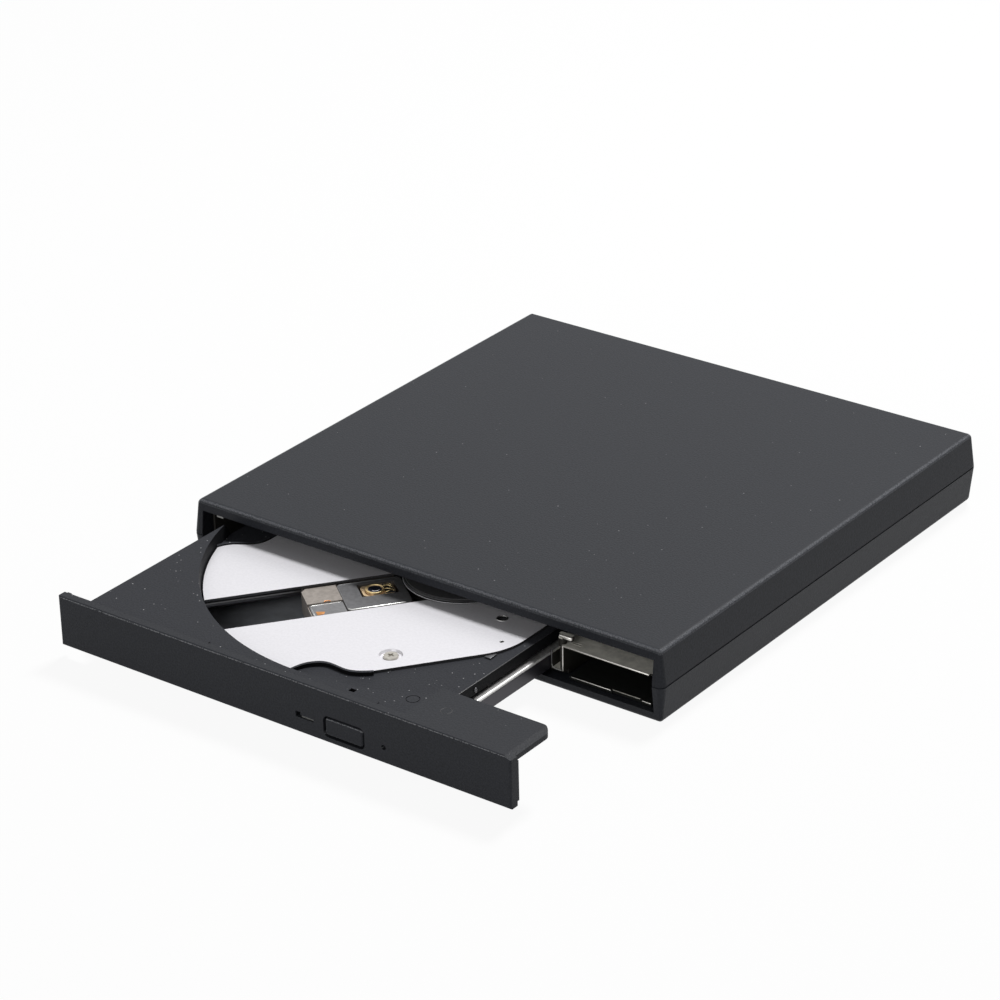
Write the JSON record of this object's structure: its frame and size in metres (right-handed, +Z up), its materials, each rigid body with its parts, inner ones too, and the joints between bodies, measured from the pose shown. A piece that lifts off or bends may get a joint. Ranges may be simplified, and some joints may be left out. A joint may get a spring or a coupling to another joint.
{
  "type": "external slimline disc drive",
  "caption": "Flat black two-shell case with a slimline tray disc drive inside, its tray partly open on telescopic rails, showing the spindle, pickup slot and bright mechanism plate.",
  "frame": {"origin": "centre of the case's flat underside; the feet stand 0.6 mm below it", "axes": "+X to the right seen from the front, +Y to the back, the tray opens towards -Y, +Z up"},
  "size_m": [0.1354, 0.1868, 0.0188],
  "materials": {
    "case_top": "fine grain, satin",
    "case_bottom": "fine grain, satin",
    "foot_rubber": "matt",
    "screw_steel": "bright zinc",
    "pan_steel": "zinc-coated sheet",
    "cover_steel": "zinc-coated sheet",
    "rail_steel": "satin",
    "nylon": "satin",
    "bezel_plastic": "fine grain",
    "tray_plastic": "satin",
    "under_sheet": "satin",
    "lamp_clear": "smoked",
    "plate_steel": "satin bright",
    "damper_rubber": "matt",
    "motor_steel": "satin",
    "bush_brass": "sintered",
    "coil_copper": "enamelled wire",
    "shaft_steel": "ground",
    "rod_steel": "dark oiled steel",
    "turntable_plastic": "satin",
    "pad_rubber": "matt",
    "claw_plastic": "satin",
    "sled_casting": "cast",
    "sled_cover_sheet": "satin",
    "laser_cover_sheet": "satin",
    "flex_film": "amber film",
    "lens_block": "satin",
    "lens_glass": "polished",
    "dark_plastic": "satin",
    "board_green": "solder mask",
    "board_dark": "dark solder mask",
    "chip_black": "matt",
    "connector_black": "satin",
    "socket_steel": "tinned"
  },
  "bodies": {
    "case": {"top_case": "case_top", "bottom_case": "case_bottom", "rubber_feet": "foot_rubber", "case_screws": "screw_steel", "drive_pan": "pan_steel", "drive_top_cover": "cover_steel", "right_guide": "pan_steel", "left_guide": "pan_steel", "guide_liners": "nylon", "latch_pin": "shaft_steel", "rear_board": "board_green", "drive_connector": "connector_black", "bridge_board": "board_dark", "bridge_plug": "connector_black", "bridge_chips": "chip_black", "usb_socket": "socket_steel", "usb_tongue": "connector_black", "dc_jack": "connector_black", "dc_pin": "socket_steel", "ribbon_lower": "flex_film"},
    "rails": {"right_rail": "rail_steel", "left_rail": "rail_steel"},
    "tray": {"tray": "tray_plastic", "bezel": "bezel_plastic", "lamp_pipe": "lamp_clear", "mechanism_plate": "plate_steel", "plate_screws": "screw_steel", "damper_grommets": "damper_rubber", "motor_base": "motor_steel", "spindle_bush": "bush_brass", "stator_coils": "coil_copper", "guide_rods": "rod_steel", "rod_holders": "dark_plastic", "feed_motor": "motor_steel", "tray_under_cover": "under_sheet", "main_board": "board_green", "main_board_chips": "chip_black", "front_board": "board_green", "eject_switch": "dark_plastic", "latch_solenoid": "motor_steel", "ribbon_upper": "flex_film"},
    "eject_button": {"eject_button": "bezel_plastic"},
    "turntable": {"rotor_bell": "motor_steel", "spindle_shaft": "shaft_steel", "turntable": "turntable_plastic", "turntable_pad": "pad_rubber", "disc_hub": "turntable_plastic"},
    "claw_1": {"disc_claw_1": "claw_plastic"},
    "claw_2": {"disc_claw_2": "claw_plastic"},
    "claw_3": {"disc_claw_3": "claw_plastic"},
    "sled": {"sled_body": "sled_casting", "sled_cover": "sled_cover_sheet", "laser_cover": "laser_cover_sheet", "sled_flex": "flex_film", "screw_follower": "dark_plastic"},
    "lens": {"lens_holder": "lens_block", "objective_lens": "lens_glass"},
    "lead_screw": {"lead_screw": "shaft_steel"},
    "latch_hook": {"latch_hook": "dark_plastic"}
  },
  "joints": [
    {"name": "rail_slide", "type": "slide", "parent": "case", "child": "rails", "axis": [0, -1, 0], "range_m": [-0.045, 0.01]},
    {"name": "tray_slide", "type": "slide", "parent": "rails", "child": "tray", "axis": [0, -1, 0], "range_m": [-0.0053, 0.047]},
    {"name": "eject_button_press", "type": "slide", "parent": "tray", "child": "eject_button", "axis": [0, 1, 0], "range_m": [0, 0.0006], "stiffness_N_per_m": 1500},
    {"name": "turntable_spin", "type": "hinge", "parent": "tray", "child": "turntable", "pos_m": [0.0018, -0.0527, 0.0124], "axis": [0, 0, 1], "continuous": true},
    {"name": "claw_1_press", "type": "slide", "parent": "turntable", "child": "claw_1", "axis": [-1, 0, 0], "range_m": [0, 0.0005], "stiffness_N_per_m": 1500},
    {"name": "claw_2_press", "type": "slide", "parent": "turntable", "child": "claw_2", "axis": [0.5, -0.866, 0], "range_m": [0, 0.0005], "stiffness_N_per_m": 1500},
    {"name": "claw_3_press", "type": "slide", "parent": "turntable", "child": "claw_3", "axis": [0.5, 0.866, 0], "range_m": [0, 0.0005], "stiffness_N_per_m": 1500},
    {"name": "sled_slide", "type": "slide", "parent": "tray", "child": "sled", "axis": [-0.6184, -0.7859, 0], "range_m": [0, 0.035]},
    {"name": "lens_focus", "type": "slide", "parent": "sled", "child": "lens", "axis": [0, 0, 1], "range_m": [-0.0003, 0.0003], "stiffness_N_per_m": 150},
    {"name": "lead_screw_turn", "type": "hinge", "parent": "tray", "child": "lead_screw", "pos_m": [0.01547, -0.06346, 0.00785], "axis": [-0.6184, -0.7859, 0], "range_deg": [-20, 4220]},
    {"name": "latch_swing", "type": "hinge", "parent": "tray", "child": "latch_hook", "pos_m": [0.0252, -0.0963, 0.00555], "axis": [0, 0, 1], "range_deg": [0, 8], "stiffness_Nm_per_rad": 0.004}
  ],
  "couplings": [
    {"joint": "lead_screw_turn", "follows": "sled_slide", "rad_per_m": 2094.4}
  ]
}
